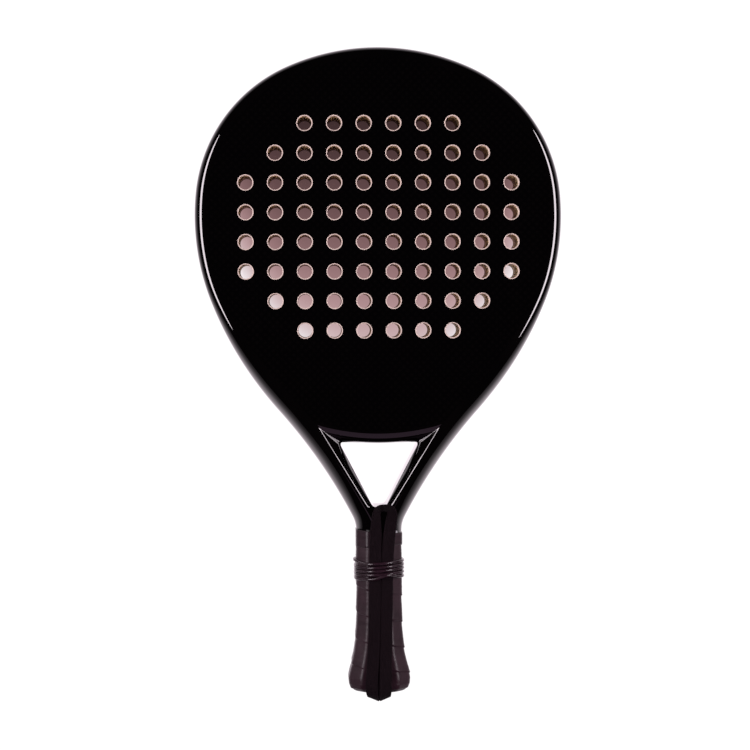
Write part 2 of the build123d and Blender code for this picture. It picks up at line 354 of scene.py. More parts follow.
def lacquer(name, weave):
    """Black gloss lacquer over laminate, whose fibre bundles show faintly through it where weave is true."""
    made = Shader(name, Coat_Weight=1.0, Coat_Roughness=0.025, Coat_IOR=1.5, Specular_IOR_Level=0.0)
    cloud = made.noise(35.0)
    if weave:
        warp = made.wave(made.position((1, 1, 0)), 110.0, "DIAGONAL")
        weft = made.wave(made.position((-1, 1, 0)), 110.0, "DIAGONAL")
        cloud = made.math("MULTIPLY", made.math("ADD", made.math("MULTIPLY", warp, weft), cloud), 0.5)
    made.colour(cloud, (0.0003, 0.0002, 0.0003), (0.0009, 0.0006, 0.0007), 0.3, 0.8)
    made.roughness(made.noise(180.0), 0.42, 0.6)
    return made.material


def raw_edge():
    """Cut glass laminate: pale, dry and slightly fibrous."""
    made = Shader("raw_laminate_edge", Specular_IOR_Level=0.25)
    fibres = made.noise(700.0, 5.0, 0.6, stretch=(1, 1, 6))
    made.colour(fibres, (0.40, 0.32, 0.28), (0.54, 0.45, 0.40), 0.30, 0.62)
    made.roughness(made.noise(400.0), 0.6, 0.9)
    made.bump(fibres, 0.15, 0.0001)
    return made.material


def foam(name, dark, pale):
    """Closed-cell foam."""
    made = Shader(name, Specular_IOR_Level=0.2)
    cells = made.cells(1500.0)
    blotch = made.noise(120.0)
    made.colour(made.math("MULTIPLY", made.math("ADD", cells, blotch), 0.6), dark, pale, 0.2, 0.75)
    made.roughness(blotch, 0.75, 0.95)
    made.bump(cells, 0.5, 0.0002)
    return made.material


def leather():
    """Smooth dark synthetic leather with a fine grain and soft creases."""
    made = Shader("grip_leather", Specular_IOR_Level=0.16)
    grain = made.cells(1700.0)
    blotch = made.noise(90.0, 5.0)
    crease = made.noise(170.0, 5.0, 0.6, stretch=(0.35, 2.2, 0.35))
    made.colour(blotch, (0.0090, 0.0030, 0.0052), (0.0170, 0.0066, 0.0105), 0.3, 0.7)
    made.roughness(made.noise(260.0), 0.34, 0.48)
    fine = made.bump(grain, 0.22, 0.00012)
    made.bump(crease, 0.3, 0.0005, fine)
    return made.material


def tape():
    """The grip's end tape: smooth stretched vinyl."""
    made = Shader("end_tape", Specular_IOR_Level=0.18)
    stretch = made.noise(150.0, 3.0, stretch=(0.4, 3.0, 0.4))
    made.colour(stretch, (0.0075, 0.0028, 0.0048), (0.0140, 0.0058, 0.0090), 0.3, 0.7)
    made.roughness(stretch, 0.28, 0.40)
    made.bump(stretch, 0.2, 0.0003)
    return made.material


def moulded():
    """The cap's rubbery plastic with a spark-eroded texture."""
    made = Shader("cap_plastic", Specular_IOR_Level=0.4)
    blotch = made.noise(70.0)
    made.colour(blotch, (0.008, 0.006, 0.007), (0.018, 0.014, 0.016), 0.3, 0.7)
    pits = made.noise(2200.0, 2.0)
    made.roughness(pits, 0.42, 0.58)
    made.bump(pits, 0.25, 0.0001)
    return made.material


def webbing():
    """Woven polyester webbing: ribs of warp with weft picks across them, matte and slightly fuzzy."""
    made = Shader("strap_webbing", Specular_IOR_Level=0.04, Sheen_Weight=0.02, Sheen_Roughness=0.5)
    picks = made.wave(made.position((0.0, 1.0, 0.0), "UV"), 340.0, "Y", 0.6)
    yarns = made.wave(made.position((1.0, 0.0, 0.0), "UV"), STRAP_RIBS * 3.2, "X", 0.4)
    fuzz = made.noise(1600.0, 5.0, 0.7)
    cloth = made.math("MULTIPLY", made.math("ADD", made.math("ADD", picks, yarns), fuzz), 0.33)
    made.colour(cloth, (0.0012, 0.0005, 0.0008), (0.0066, 0.0032, 0.0049), 0.2, 0.8)
    made.roughness(fuzz, 0.8, 0.97)
    made.bump(cloth, 0.55, 0.00025)
    return made.material


def elastic():
    """Braided elastic cord with a waxy shine."""
    made = Shader("tie_elastic", Specular_IOR_Level=0.26)
    first = made.wave(made.position((1.0, 0.5, 0.0), "UV"), 14.0, "DIAGONAL")
    second = made.wave(made.position((-1.0, 0.5, 0.0), "UV"), 14.0, "DIAGONAL")
    braid = made.math("MULTIPLY", first, second)
    made.colour(braid, (0.009, 0.0036, 0.0060), (0.022, 0.0100, 0.0155))
    made.roughness(made.noise(500.0), 0.18, 0.26)
    made.bump(braid, 0.25, 0.0001)
    return made.material


def steel():
    made = Shader("staple_steel", Metallic=1.0)
    drawn = made.noise(500.0, stretch=(1, 1, 8))
    made.colour(drawn, (0.42, 0.41, 0.40), (0.62, 0.61, 0.60))
    made.roughness(drawn, 0.25, 0.45)
    return made.material


# ======== mesh helpers


def add_piece(name, mesh, materials, node, body="racket"):
    """Adds a mesh as a piece that rides on a body and stands for a CAD node."""
    made = bpy.data.objects.new(name, mesh)
    bpy.context.scene.collection.objects.link(made)
    for material in materials:
        mesh.materials.append(material)
    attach(made, body)
    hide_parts(node)
    return made


def new_mesh(name, points, faces):
    mesh = bpy.data.meshes.new(name)
    mesh.from_pydata([tuple(p) for p in points], [], faces)
    mesh.polygons.foreach_set("use_smooth", [True] * len(mesh.polygons))
    return mesh


def ring_mesh(name, rings, capped=True):
    """A mesh through rings of points, with a fan over each end where it is capped. UVs run 0..1."""
    count, across = len(rings), len(rings[0])
    points = [p for ring in rings for p in ring]
    faces = []
    for i in range(count - 1):
        for j in range(across):
            k = (j + 1) % across
            faces.append((i * across + j, i * across + k, (i + 1) * across + k, (i + 1) * across + j))
    for i in (0, count - 1) if capped else ():
        hub = len(points)
        points.append(sum((Vector(p) for p in rings[i]), Vector()) / across)
        for j in range(across):
            pair = (i * across + j, i * across + (j + 1) % across)
            faces.append((*pair[::-1], hub) if i == 0 else (*pair, hub))
    mesh = new_mesh(name, points, faces)
    layer = mesh.uv_layers.new(name="UVMap")
    for polygon in mesh.polygons:
        wraps = any(vertex % across == across - 1 for vertex in polygon.vertices)
        for loop, vertex in zip(polygon.loop_indices, polygon.vertices):
            i, j = divmod(vertex, across)
            u = 1.0 if wraps and j == 0 else j / across
            layer.data[loop].uv = (u, min(i, count - 1) / (count - 1))
    return mesh


# ======== the lacquered body


def half_outline():
    """Points down the right half of the outline with their outward normals: (across, at, nx, ny)."""
    x, y, heading = 0.0, LENGTH, 0.0
    samples = []
    for radius, degrees in OUTLINE_ARCS:
        turn = -radians(degrees) if radius > 0 else radians(degrees)
        centre_x, centre_y = x + radius * sin(heading), y - radius * cos(heading)
        count = ceil(abs(radius * turn) / OUTLINE_STEP)
        for k in range(count):
            angle = heading + turn * k / count
            nx, ny = -sin(angle), cos(angle)
            samples.append((centre_x + radius * nx, centre_y + radius * ny, nx, ny))
        heading += turn
        x, y = centre_x - radius * sin(heading), centre_y + radius * cos(heading)
    count = ceil((y - NECK_FOOT) / OUTLINE_STEP)
    for k in range(count + 1):
        samples.append((x, mix(y, NECK_FOOT, k / count), 1.0, 0.0))
    return samples


def half_height(at):
    """Half the racket's thickness at a distance from the butt end."""
    share = min(max((TAPER_START - at) / (TAPER_START - NECK_END), 0.0), 1.0)
    return mix(MID, NECK_THICKNESS / 2, share)


def outer_radius(at):
    start, end = RADIUS_CHANGE
    return mix(HEAD_RADIUS, ARM_RADIUS, smooth((start - at) / (start - end)))


CREASE = (FUNNEL_VERTEX[0] - FUNNEL_TIP[0], FUNNEL_VERTEX[1] - FUNNEL_TIP[1])
CREASE_LENGTH = hypot(*CREASE)
ALONG = (CREASE[0] / CREASE_LENGTH, CREASE[1] / CREASE_LENGTH)
INWARD = (ALONG[1], -ALONG[0])


def funnel_place(x, y):
    """A point's distance along the funnel's crease and its distance inside it."""
    dx, dy = x - FUNNEL_TIP[0], y - FUNNEL_TIP[1]
    return dx * ALONG[0] + dy * ALONG[1], dx * INWARD[0] + dy * INWARD[1]


KNEE = radians(45)
TOP_ALONG, TOP_WIDTH = funnel_place(*OPENING_TOP)
FOOT_ALONG, FOOT_WIDTH = funnel_place(*OPENING_FOOT)


def slope_drop(x, y, walled=True):
    """How far the funnel's side lies below the face: a rounded crease, a slope, a rounding into the wall."""
    along, inside = funnel_place(x, y)
    if inside <= 0:
        return 0.0
    fade = smooth((y - FUNNEL_FADE[0]) / (FUNNEL_FADE[1] - FUNNEL_FADE[0]))
    crease = CREASE_RADIUS * sin(SLOPE)
    if inside <= crease:
        return fade * (CREASE_RADIUS - sqrt(CREASE_RADIUS**2 - inside**2))
    share = (along - TOP_ALONG) / (FOOT_ALONG - TOP_ALONG)
    width = mix(TOP_WIDTH, FOOT_WIDTH, share)
    lens = sin(pi * min(max(share, 0.0), 1.0)) ** 0.8
    wall = min(mix(*WALL_RADIUS, lens), (width - crease) / (1 - sin(SLOPE)))
    arc = wall * (1 - sin(SLOPE))
    drop = CREASE_RADIUS * (1 - cos(SLOPE))
    if not walled or share <= 0 or inside <= width - arc:
        return fade * (drop + (inside - crease) * tan(SLOPE))
    drop += (width - arc - crease) * tan(SLOPE)
    reach = min(wall * sin(SLOPE) + inside - (width - arc), wall)
    return fade * (drop + wall * cos(SLOPE) - sqrt(max(wall**2 - reach**2, 0.0)))


def inner_distance(x, y, nx, ny, tip_distance, tip_at):
    """How far in the rounded side reaches from the outline: to the face, the crease or the middle line."""
    if y > tip_at:
        start = RADIUS_CHANGE[0]
        return mix(HEAD_RADIUS, tip_distance, smooth((start - y) / (start - tip_at)))
    dx, dy = FUNNEL_TIP[0] - x, FUNNEL_TIP[1] - y
    crease = (dx * ALONG[1] - dy * ALONG[0]) / (ny * ALONG[0] - nx * ALONG[1])
    below_vertex = y - ny * crease < FUNNEL_VERTEX[1]
    return x / nx if below_vertex else crease


def rim_samples():
    """The outline's samples, each with how far in its rounded side reaches."""
    samples = half_outline()
    tip_index = min(range(len(samples)), key=lambda i: dist(samples[i][:2], FUNNEL_TIP))
    # The normal nearest to the funnel's tip is turned so that it runs straight through the tip.
    tip_x, tip_at = samples[tip_index][:2]
    reach = dist((tip_x, tip_at), FUNNEL_TIP)
    normal = ((tip_x - FUNNEL_TIP[0]) / reach, (tip_at - FUNNEL_TIP[1]) / reach)
    rows = [(*sample, inner_distance(*sample, reach, tip_at)) for sample in samples]
    rows[tip_index] = (tip_x, tip_at, *normal, reach)
    return rows, tip_index


def rim_section(row):
    """Front half of one section of the rim: from the inner edge out over the rounding to the middle plane."""
    x, y, nx, ny, distance = row
    outer = outer_radius(y)
    inner = (distance - outer * (1 - sin(KNEE))) / sin(KNEE)
    half = half_height(y)
    total = outer * cos(KNEE) + inner * (1 - cos(KNEE))
    squeeze = min(1.0, (half - 0.5) / total)
    points = []
    for degrees in range(0, 91, SECTION_STEP):
        angle = radians(degrees)
        if angle <= KNEE:
            inset = distance - inner * sin(angle)
            drop = inner * (1 - cos(angle))
        else:
            inset = outer * (1 - sin(angle))
            drop = inner * (1 - cos(KNEE)) + outer * (cos(KNEE) - cos(angle))
        at = y - ny * inset
        # The face tapers with the distance from the butt, so it is read where the point lies.
        top = half_height(at) if degrees < 90 else half
        points.append((x - nx * inset, at, mix(top, half, degrees / 90) - drop * squeeze))
    x, at, height = points[-1]
    return points + [(x, at, height / 2), (x, at, 0.0)]


def opening_contour():
    """The right half of the opening's edge: top, upper corner, side, lower corner and foot."""
    top_middle = (0.0, OPENING_TOP[1] - OPENING_BOW)
    corners = [Vector(p) for p in (top_middle, OPENING_TOP, OPENING_FOOT, (0.0, OPENING_FOOT[1]))]
    parts = []
    last = corners[0]
    for before, corner, after in zip(corners, corners[1:], corners[2:]):
        into, away = (corner - before).normalized(), (after - corner).normalized()
        reach = min(OPENING_CORNER * tan(into.angle(away) / 2), OPENING_REACH)
        start, end = corner - into * reach, corner + away * reach
        parts.append((tuple(last), tuple(start)))
        parts.append([tuple(bend(start, corner, end, k / 8)) for k in range(9)])
        last = end
    parts.append((tuple(last), tuple(corners[-1])))
    return parts


def divide(start, end, count):
    return [(mix(start[0], end[0], k / count), mix(start[1], end[1], k / count)) for k in range(count + 1)]


def even_points(line, count):
    """Points at even distances along a line of points."""
    lengths = np.cumsum([0.0] + [dist(a, b) for a, b in zip(line, line[1:])])
    stations = np.linspace(0, lengths[-1], count + 1)
    return list(zip(*(np.interp(stations, lengths, axis).tolist() for axis in zip(*line))))


def brow(x):
    """Where the bridge starts to round off, at a distance from the middle line."""
    return mix(BRIDGE_BROW, FUNNEL_TIP[1], (x / FUNNEL_TIP[0]) ** 2)


def bridge_drop(x, y):
    """How far the bridge's front lies below the face: a wide rounding, a slope and the lip of the opening."""
    gone = brow(x) - y
    knee = BRIDGE_RADIUS * sin(KNEE)
    if gone <= 0:
        return 0.0
    if gone <= knee:
        return BRIDGE_RADIUS - sqrt(BRIDGE_RADIUS**2 - gone**2)
    slope = max(brow(x) - OPENING_TOP[1] - knee - BRIDGE_LIP * (1 - sin(KNEE)), 0.0)
    drop = BRIDGE_RADIUS * (1 - cos(KNEE)) + min(gone - knee, slope)
    reach = min(max(gone - knee - slope, 0.0) + BRIDGE_LIP * sin(KNEE), BRIDGE_LIP)
    return drop + BRIDGE_LIP * cos(KNEE) - sqrt(BRIDGE_LIP**2 - reach**2)


def pocket_drop(x, y):
    """How far the funnel's floor lies below the face: the arm's slope and the bridge, blended."""
    first, second = slope_drop(x, y), bridge_drop(x, y)
    least = min(first, second)
    share = min(max((x - OPENING_TOP[0]) / (FUNNEL_TIP[0] - OPENING_TOP[0]), 0.0), 1.0)
    width = min(mix(*VALLEY_WIDTH, share**5), 1.5 * least)
    if width <= 0:
        return least
    blend = max(width - abs(first - second), 0.0) / width
    return least - blend**2 * width / 4


def valley(x):
    """Where the arm's slope and the bridge meet, at a distance from the middle line."""
    low, high = OPENING_TOP[1] - 1.0, brow(x)
    for _ in range(30):
        middle = (low + high) / 2
        if bridge_drop(x, middle) > slope_drop(x, middle, False):
            low = middle
        else:
            high = middle
    return (low + high) / 2


class Body:
    """The moulded body's outer surface as one mesh, whose faces are shared out among the named pieces."""

    def __init__(self):
        self.points = []
        self.index = {}
        self.faces = []
        self.flat = set()

    def vertex(self, point):
        key = tuple(round(c * 2000) for c in point)
        if key not in self.index:
            self.index[key] = len(self.points)
            self.points.append(point)
        return self.index[key]

    def grid(self, rows, piece, flat_row=None, flip=False):
        """Adds a grid of points (across, at, above the middle plane) and its three mirror images."""
        for side in (1, -1):
            for face in (1, -1):
                table = [[self.vertex((x * side, y, z * face)) for x, y, z in row] for row in rows]
                if flat_row is not None:
                    self.flat.update((row[flat_row], face) for row in table)
                name = piece[0] if side < 0 else piece[-1]
                for upper, lower in zip(table, table[1:]):
                    for j in range(len(upper) - 1):
                        corners = (upper[j], upper[j + 1], lower[j + 1], lower[j])
                        quad = list(dict.fromkeys(corners))  # without repeats, in the same order
                        if (side * face < 0) != flip:
                            quad.reverse()
                        if len(quad) > 2:
                            self.faces.append((tuple(quad), name))

    def normals(self):
        points = np.array(self.points)
        total = np.zeros_like(points)
        for quad, _ in self.faces:
            corners = points[list(quad)]
            # Both cross products are twice the face's area, for four corners and for three.
            if len(quad) == 4:
                normal = np.cross(corners[2] - corners[0], corners[3] - corners[1])
            else:
                normal = np.cross(corners[1] - corners[0], corners[2] - corners[0])
            for vertex in quad:
                total[vertex] += normal
        for vertex, face in self.flat:
            total[vertex] = (0, 0, face)
        return total / np.maximum(np.linalg.norm(total, axis=1, keepdims=True), 1e-12)

    def build(self, materials, nodes):
        """One object for each piece, with the whole's normals so that the lacquer runs across joints."""
        normals = self.normals()
        for name, node in nodes.items():
            faces = [quad for quad, piece in self.faces if piece == name]
            used = sorted({v for quad in faces for v in quad})
            renumber = {v: i for i, v in enumerate(used)}
            points = [place(x, at, z + MID) for x, at, z in (self.points[v] for v in used)]
            mesh = new_mesh(name, points, [tuple(renumber[v] for v in quad) for quad in faces])
            mesh.normals_split_custom_set_from_vertices([tuple(normals[v]) for v in used])
            add_piece(name, mesh, materials, node)


ARMS = ("left_arm", "right_arm")
BODY_NODES = {
    "head_rim": "head_tube",
    "left_arm": "left_arm_tube",
    "right_arm": "right_arm_tube",
    "throat_bridge": "throat_bridge",
    "throat_web": "throat_web",
}


def side_row(start, end):
    """Points across an arm's slope: over the crease's rounding, then on to the edge."""
    inside = max(funnel_place(*end)[1], 1e-6)
    rounding = min(1.15 * CREASE_RADIUS * sin(SLOPE) / inside, 0.6)
    shares = [rounding * k / CREASE_STEPS for k in range(1, CREASE_STEPS + 1)]
    shares += [mix(rounding, 1.0, share) for share in SLOPE_STEPS]
    row = [start]
    for share in shares:
        x, y = mix(start[0], end[0], share), mix(start[1], end[1], share)
        row.append((x, y, half_height(y) - pocket_drop(x, y)))
    return row


def make_body(materials):
    """The lacquered body. Returns the face's edge and the core's, (across, at) down the right half."""
    rows, tip_index = rim_samples()
    body = Body()
    sections = [rim_section(row) for row in rows]
    head_end = next(i for i, row in enumerate(rows) if row[1] < CORE_END)
    body.grid(sections[: head_end + 1], ("head_rim",), flat_row=0, flip=True)
    body.grid(sections[head_end : tip_index + 1], ARMS, flat_row=0, flip=True)
    body.grid(sections[tip_index:], ARMS, flip=True)

    # The funnel's sides. Their rows start on the crease at the same points as the arms' sections.
    crease = [section[0] for section in sections[tip_index:] if section[0][1] >= FUNNEL_VERTEX[1] - 0.01]
    top_line, top_corner, side_line, foot_corner, foot_line = opening_contour()
    half_corner = len(top_corner) // 2
    meet = top_corner[half_corner]
    side = top_corner[half_corner:] + divide(*side_line, 24)[1:] + foot_corner[1 : half_corner + 1]
    foot_index = min(range(len(crease)), key=lambda i: abs(crease[i][1] - OPENING_FOOT[1]))
    corner_rows = round(CORNER_ROWS * foot_index)
    columns = [mix(FUNNEL_TIP[0], meet[0], k / corner_rows) for k in range(1, corner_rows)]
    tip_run = [FUNNEL_TIP] + [(x, valley(x)) for x in columns] + [meet]
    edge = tip_run + even_points(side, foot_index - corner_rows)[1:]
    slopes = [side_row(start, end) for start, end in zip(crease, edge)]
    body.grid(slopes, ARMS)

    # The bridge between the face and the opening, down to the valleys on either side of the opening.
    opening_top = divide(*top_line, 24) + top_corner[1 : half_corner + 1]
    lower = opening_top + tip_run[::-1][1:]
    bridge = []
    for x, y in lower:
        row = []
        for k in range(BRIDGE_STEPS + 1):
            at = mix(brow(x), y, k / BRIDGE_STEPS)
            row.append((x, at, half_height(at) - pocket_drop(x, at)))
        bridge.append(row)
    bridge[-1] = [(*FUNNEL_TIP, MID)] * (BRIDGE_STEPS + 1)
    body.grid(bridge, ("throat_bridge",), flat_row=0)

    # The web below the opening, between the arms.
    foot_edge = foot_corner[half_corner:] + divide(*foot_line, 6)[1:]
    web_rows = [slopes[-1] + [(x, y, half_height(y) - slope_drop(x, y, False)) for x, y in foot_edge[1:]]]
    for k, start in enumerate(crease[foot_index + 1 :]):
        share = (k + 1) / max(len(crease) - foot_index - 1, 1)
        row = [start]
        for x, y, _ in web_rows[0][1:]:
            px = mix(x, start[0] * x / web_rows[0][0][0], share)
            py = mix(y, start[1], share)
            row.append((px, py, half_height(py) - slope_drop(px, py, False)))
        web_rows.append(row)
    body.grid(web_rows, ("throat_web",))

    # The opening's walls, down to the middle plane.
    wall_top = [row[-1] for row in bridge[: len(opening_top)]]
    wall_side = [row[-1] for row in slopes[corner_rows:]]
    wall_foot = web_rows[0][-len(foot_edge) :]
    for line, piece in ((wall_top, ("throat_bridge",)), (wall_side, ARMS), (wall_foot, ("throat_web",))):
        body.grid([[(x, y, z * f) for f in (1.0, 0.66, 0.33, 0.0)] for x, y, z in line], piece)
    body.build(materials, BODY_NODES)

    face_edge = [section[0][:2] for section in sections[: tip_index + 1]]
    face_edge += [row[0][:2] for row in bridge[::-1][1:]]
    core_edge = [(x - nx * CORE_INSET, y - ny * CORE_INSET) for x, y, nx, ny, _ in rows]
    core_edge = [p for p in core_edge if p[1] > CORE_END and p[0] >= 0]
    core_edge.append((core_edge[-1][0], CORE_END))
    return face_edge, core_edge


# ======== drilled plates


def hole_places():
    """The holes' centres, (across, at), row by row from the top."""
    places = []
    for row, count in enumerate(HOLE_ROWS):
        at = HOLE_GRID_CENTRE + ((len(HOLE_ROWS) - 1) / 2 - row) * HOLE_PITCH
        places += [((column - (count - 1) / 2) * HOLE_PITCH, at) for column in range(count)]
    return places


def drilled_plate(name, half_edge, levels, materials, node):
    """A flat plate with the drilled holes. levels are (height, hole radius) from its front to its rear: the
    first and last are its faces, and what lies between is the holes' walls and bevels."""
    outline = []
    for point in half_edge + [(-x, y) for x, y in half_edge[::-1]]:
        if not outline or dist(point, outline[-1]) > SAME_POINT:
            outline.append(point)
    if dist(outline[0], outline[-1]) < SAME_POINT:
        outline.pop()
    angles = [2 * pi * k / HOLE_SIDES for k in range(HOLE_SIDES)]
    bm = bmesh.new()
    rings = []
    for height, radius in levels:
        layer = [outline]
        layer += [[(cx + radius * cos(a), cy + radius * sin(a)) for a in angles] for cx, cy in hole_places()]
        rings.append([[bm.verts.new(place(x, y, height)) for x, y in ring] for ring in layer])
    for layer, way in ((rings[0], 1), (rings[-1], -1)):
        edges = [bm.edges.new(pair) for ring in layer for pair in zip(ring, ring[1:] + ring[:1])]
        made = bmesh.ops.triangle_fill(bm, use_beauty=True, edges=edges, normal=(0, 0, way))
        for face in made["geom"]:
            if isinstance(face, bmesh.types.BMFace) and face.normal.z * way < 0:
                face.normal_flip()
    for upper, lower in zip(rings, rings[1:]):
        for number, (above, below) in enumerate(zip(upper, lower)):
            for j in range(len(above)):
                k = (j + 1) % len(above)
                quad = (above[j], above[k], below[k], below[j])
                face = bm.faces.new(quad if number else quad[::-1])
                face.material_index = min(number, 1)  # the outer edge is lacquered, the holes are raw
    bm.normal_update()
    mesh = bpy.data.meshes.new(name)
    bm.to_mesh(mesh)
    bm.free()
    add_piece(name, mesh, materials, node)


def make_plates(face_edge, core_edge, look):
    front = [(THICKNESS - HOLE_BEVEL * down, HOLE_LIP + HOLE_BEVEL * out) for down, out in BEVEL_STEPS]
    front.append((THICKNESS - SKIN, HOLE_LIP))
    rear = [(THICKNESS - height, radius) for height, radius in front[::-1]]
    face = [look["laminate"], look["raw_edge"]]
    drilled_plate("front_face", face_edge, front, face, "front_face_skin")
    drilled_plate("rear_face", face_edge, rear, face, "rear_face_skin")
    core = ((THICKNESS - SKIN, HOLE_RADIUS), (SKIN, HOLE_RADIUS))
    drilled_plate("core", core_edge, core, [look["core"], look["core"]], "foam_core")


# ======== the handle


def octagon(w, t):
    """A section of the handle of half width w and half thickness t: an octagon with rounded corners, as
    (across, up, nx, nz), from the left side over the front to the right and round the back."""
    cut = CHAMFER * t
    half = [Vector(p) for p in ((-w, t - cut), (-w + cut, t), (w - cut, t), (w, t - cut))]
    corners = half + [-corner for corner in half]
    ways = [(corners[(k + 1) % 8] - corners[k]).normalized() for k in range(8)]  # from each to the next
    reaches = [CHAMFER_ROUND * tan(ways[k - 1].angle(ways[k]) / 2) for k in range(8)]
    points = []
    for k, corner in enumerate(corners):
        into, away = ways[k - 1], ways[k]
        start, end = corner - into * reaches[k], corner + away * reaches[k]
        for j in range(CORNER_POINTS + 1):
            share = j / CORNER_POINTS
            point, way = bend(start, corner, end, share), into.lerp(away, share).normalized()
            points.append((point.x, point.y, -way.y, way.x))
        stop = corners[(k + 1) % 8] - away * reaches[(k + 1) % 8]
        for j in range(1, SIDE_POINTS):
            point = end.lerp(stop, j / SIDE_POINTS)
            points.append((point.x, point.y, -away.y, away.x))
    return points


def grip_size(at):
    stations = [p[0] for p in GRIP_PROFILE]
    return tuple(float(np.interp(at, stations, [p[k] for p in GRIP_PROFILE])) for k in (1, 2))


@lru_cache(maxsize=8)
def grip_section(at):
    """The handle's section at a distance from the butt end, with the corners of its profile eased."""
    reach = 1.6 if at > 5 else 0.3
    sizes = [grip_size(at + reach * k / 3) for k in range(-3, 4)]
    return octagon(*(sum(size[k] for size in sizes) / len(sizes) for k in (0, 1)))


def wrap_height(at, share, x, z):
    """How far the spiral wrap stands proud: a lower edge that laps over the turn below, thinning upwards."""
    turn = (at + WRAP_PITCH * share - WRAP_EDGE) / WRAP_PITCH
    wander = 0.05 * noise.noise(Vector((x * 0.05, at * 0.03, z * 0.05)))
    number = floor(turn + wander)
    phase = turn + wander - number
    edge = smooth(phase / 0.03)
    rise = WRAP_STEP * edge * (1 - phase) ** 0.8
    bead = 0.16 * edge * max(0.0, 1 - phase / 0.10)
    wrinkle = noise.noise(Vector((x * 0.11, at * 0.55, z * 0.11)) + Vector((number * 3.1, 0, 0)))
    soft = noise.noise(Vector((x * 0.09, at * 0.10, z * 0.09)))
    return rise + bead + 0.09 * wrinkle + 0.14 * soft


def sleeve(start, end, step, extra, wrapped, slant=(0.0, 0.0)):
    """Rings of points round the handle between two distances from the butt end."""
    count = ceil((end - start) / step)
    total = len(grip_section(start))
    rings = []
    for i in range(count + 1):
        ring = []
        for j in range(total):
            share = j / total
            lean = cos(2 * pi * share)
            at = mix(start + slant[0] * lean, end + slant[1] * lean, i / count)
            x, z, nx, nz = grip_section(at)[j]
            lift = extra + (wrap_height(at, share, x, z) if wrapped else 0.0)
            ring.append(place(x + nx * lift, at, z + nz * lift + MID))
        rings.append(ring)
    return rings


def tuck(rings, depth):
    """Turns both ends of a sleeve inwards so that its edges look thick."""

    def inner(ring, shift):
        middle = sum(ring, Vector()) / len(ring)
        outward = [Vector((point.x - middle.x, 0, point.z - middle.z)).normalized() for point in ring]
        return [point - away * depth * MM + Vector((0, shift * MM, 0)) for point, away in zip(ring, outward)]

    return [inner(rings[0], 0.5)] + rings + [inner(rings[-1], -0.5)]


def make_grip(look):
    """The spiral wrap, and the tape over its upper end."""
    rings = tuck(sleeve(GRIP_START, GRIP_TOP - 1.5, 0.45, 0.0, True), 1.4)
    mesh = ring_mesh("wrapped_grip", rings, False)
    add_piece("wrapped_grip", mesh, [look["leather"]], "base_grip")
    rings = tuck(sleeve(TAPE_START, GRIP_TOP, 0.8, TAPE_LIFT, False, TAPE_SLANT), 2.5)
    mesh = ring_mesh("end_tape_band", rings, False)
    add_piece("end_tape_band", mesh, [look["tape"]], "grip_end_tape")


def slot_loop(total):
    """The edge of the strap's slot in the cap, as (across, height), in the order of the handle's section."""
    width, height = STRAP_SLOT
    radius, flat = height / 2, width - height
    half_length = flat + pi * radius
    points = []
    for j in range(total):
        way = 2 * half_length * (j / total + 0.02) - pi * radius / 2
        number, run = divmod(way, half_length)
        if run < flat:
            x, z = run - flat / 2, radius
        else:
            angle = pi / 2 - (run - flat) / radius
            x, z = flat / 2 + radius * cos(angle), radius * sin(angle)
        side = -1 if number % 2 else 1  # one half of the loop is the other turned round
        points.append((SLOT_CENTRE[0] + side * x, SLOT_CENTRE[1] + side * z))
    return points


def make_cap(look):
    """The butt cap: its rounded edge, its moulded end and the strap's slot."""
    rings = []
    for at, inset in CAP_EDGE:
        section = octagon(*grip_size(at))
        rings.append([place(x - nx * inset, at, z - nz * inset + MID) for x, z, nx, nz in section])
    slot = slot_loop(len(section))
    edge = [(x - nx * inset, z - nz * inset + MID) for x, z, nx, nz in section]
    for share, depth in CAP_END:
        ring = [(mix(x, sx, share), mix(z, sz, share)) for (x, z), (sx, sz) in zip(edge, slot)]
        rings.append([place(x, BUTT + depth, z) for x, z in ring])
    rings += [[place(x, depth, z) for x, z in slot] for depth in SLOT_DEPTHS]
    add_piece("end_cap", ring_mesh("end_cap", rings[::-1]), [look["cap"]], "butt_cap")


# ======== strap and tie


def tangent_at(line, i):
    return (line[min(i + 1, len(line) - 1)] - line[max(i - 1, 0)]).normalized()


def strap_section():
    """The webbing's section: ribbed on both faces, with rounded edges."""
    front = []
    count = STRAP_RIBS * 4
    for k in range(count + 1):
        u = k / count
        thick = STRAP_THICKNESS / 2 * sqrt(min(1.0, min(u, 1 - u) * 14 + 0.12))
        rib = RIB_DEPTH * (abs(sin(pi * STRAP_RIBS * u)) - 1)
        front.append(((u - 0.5) * STRAP_WIDTH, thick + rib))
    return front + [(across, -up) for across, up in front[::-1]]


def make_strap(line, look):
    """Webbing that follows the line, rolled about it so that it lies flat on the grip and turns on edge."""
    lengths = np.cumsum([0.0] + [(b - a).length for a, b in zip(line, line[1:])])
    section = strap_section()
    rings = []
    for i, point in enumerate(line):
        tangent = tangent_at(line, i)
        at = point.y / MM + LENGTH / 2
        middle = float(np.interp(at, *zip(*STRAP_MIDDLE)))
        outward = Vector((point.x / MM - middle, max(at - TURN_CENTRE, 0.0), 0.0))
        outward = (outward - tangent * outward.dot(tangent)).normalized()
        tilt = radians(float(np.interp(lengths[i] / lengths[-1], *zip(*STRAP_TILT))))
        above = tangent.cross(outward)
        across = outward * cos(tilt) + above * sin(tilt)
        above = tangent.cross(across)
        rings.append([point + across * u * MM + above * v * MM for u, v in section])
    mesh = ring_mesh("webbing_strap", rings[::-1])
    return add_piece("webbing_strap", mesh, [look["webbing"]], "wrist_strap")


